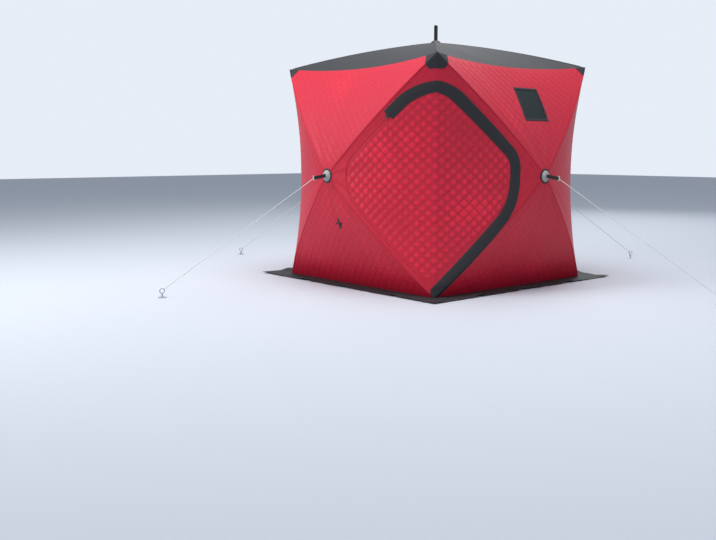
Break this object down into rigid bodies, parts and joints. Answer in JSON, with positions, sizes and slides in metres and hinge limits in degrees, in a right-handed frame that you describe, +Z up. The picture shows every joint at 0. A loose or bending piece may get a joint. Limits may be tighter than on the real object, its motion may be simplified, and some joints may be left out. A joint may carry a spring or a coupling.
{
  "type": "pop-up ice fishing shelter",
  "caption": "Pop-up ice fishing hut: quilted walls and roof pushed out by hubs and bowed poles, with a zipped corner door, film windows, snow skirt and guy ropes.",
  "frame": {"origin": "centre of the footprint, on the ground", "axes": "-Y out of the front wall, +X out of the right wall, +Z up; the door wraps the corner between those two walls"},
  "size_m": [4.9298, 4.9298, 2.1658],
  "materials": {
    "wall_cloth": "quilted red cloth, matt",
    "roof_cloth": "black coated cloth, matt",
    "black_cloth": "black cloth, matt",
    "webbing": "black woven webbing",
    "rope": "pale braided cord",
    "pole": "dark glass-fibre rod",
    "hub_plastic": "moulded black plastic",
    "cap_plastic": "dark moulded plastic",
    "window_film": "smoke-dark clear film",
    "anchor_metal": "dark coated steel"
  },
  "bodies": {
    "hut": {"back_wall_bottom_panel": "wall_cloth", "back_wall_hub": "hub_plastic", "back_wall_left_panel": "wall_cloth", "back_wall_poles": "pole", "back_wall_right_panel": "wall_cloth", "back_wall_top_panel": "wall_cloth", "bottom_corner_sockets": "hub_plastic", "door_tie_back": "webbing", "front_wall_bottom_panel": "wall_cloth", "front_wall_hub": "hub_plastic", "front_wall_left_panel": "wall_cloth", "front_wall_poles": "pole", "front_wall_right_panel": "wall_cloth", "front_wall_top_panel": "wall_cloth", "guy_ropes": "rope", "ice_anchors": "anchor_metal", "left_wall_bottom_panel": "wall_cloth", "left_wall_hub": "hub_plastic", "left_wall_left_panel": "wall_cloth", "left_wall_poles": "pole", "left_wall_right_panel": "wall_cloth", "left_wall_top_panel": "wall_cloth", "right_wall_bottom_panel": "wall_cloth", "right_wall_hub": "hub_plastic", "right_wall_left_panel": "wall_cloth", "right_wall_poles": "pole", "right_wall_right_panel": "wall_cloth", "right_wall_top_panel": "wall_cloth", "roof_back_panel": "roof_cloth", "roof_front_panel": "roof_cloth", "roof_hub": "hub_plastic", "roof_hub_cap": "cap_plastic", "roof_left_panel": "roof_cloth", "roof_poles": "pole", "roof_pull_strap": "webbing", "roof_right_panel": "roof_cloth", "snow_skirt": "black_cloth", "top_corner_patches": "black_cloth", "top_corner_sockets": "hub_plastic", "wall_hub_caps": "cap_plastic", "wall_pull_straps": "webbing", "window_frames": "black_cloth", "window_panes": "window_film"},
    "door": {"door_panel": "wall_cloth", "door_storm_flap": "black_cloth"}
  },
  "joints": [
    {"name": "door_fold", "type": "hinge", "parent": "hut", "child": "door", "pos_m": [0.9, -0.9, 0], "axis": [0.2608, 0.1197, -0.9579], "range_deg": [0, 165]}
  ]
}
